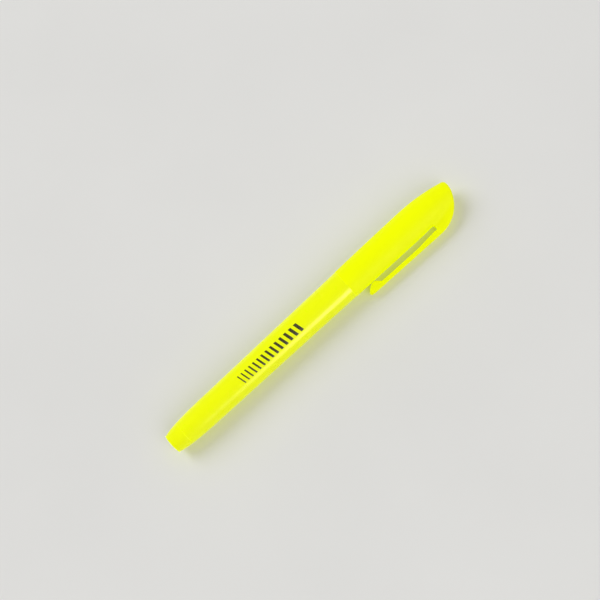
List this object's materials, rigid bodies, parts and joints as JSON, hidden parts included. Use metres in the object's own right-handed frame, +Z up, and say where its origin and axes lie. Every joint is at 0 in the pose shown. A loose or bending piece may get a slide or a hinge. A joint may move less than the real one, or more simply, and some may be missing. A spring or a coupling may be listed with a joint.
{
  "type": "capped highlighter pen",
  "caption": "Slim capped highlighter pen: tapered round barrel, snug pull-off cap with a rounded slanted end and a moulded pocket clip, chisel nib and fibre ink reservoir inside.",
  "frame": {"origin": "bottom centre of the bounding box, on the surface that the pen lies on", "axes": "+X along the pen from the tail to the cap's far end, +Z up, clip on the -Y side and a little below the pen's axis"},
  "size_m": [0.1336, 0.0158, 0.012],
  "materials": {
    "barrel_plastic": "glossy fluorescent yellow polypropylene",
    "cap_plastic": "satin fluorescent yellow polypropylene",
    "holder_plastic": "natural white polypropylene, satin",
    "liner_plastic": "milky soft polyethylene",
    "nib_felt": "sintered porous fibre soaked with yellow ink",
    "reservoir_fibre": "ink-soaked polyester fibre",
    "reservoir_film": "thin clear plastic film",
    "print_ink": "dark olive screen-printed ink"
  },
  "bodies": {
    "barrel": {"barrel": "barrel_plastic", "tail_plug": "barrel_plastic", "nib_holder": "holder_plastic", "chisel_nib": "nib_felt", "reservoir_core": "reservoir_fibre", "reservoir_film": "reservoir_film"},
    "cap_liner": {"cap_liner": "liner_plastic"},
    "cap": {"cap": "cap_plastic"},
    "clip": {"clip": "cap_plastic"}
  },
  "joints": [
    {"name": "cap_pull", "type": "slide", "parent": "barrel", "child": "cap_liner", "axis": [1, 0, 0], "range_m": [0, 0.036]},
    {"name": "cap_turn", "type": "hinge", "parent": "cap_liner", "child": "cap", "pos_m": [0.04175, 0.00189, 0.006], "axis": [-1, 0, 0], "continuous": true},
    {"name": "clip_flex", "type": "hinge", "parent": "cap", "child": "clip", "pos_m": [0.0537, -0.00708, 0.00204], "axis": [0, -0.4046, 0.9145], "range_deg": [0, 5], "stiffness_Nm_per_rad": 0.17}
  ]
}
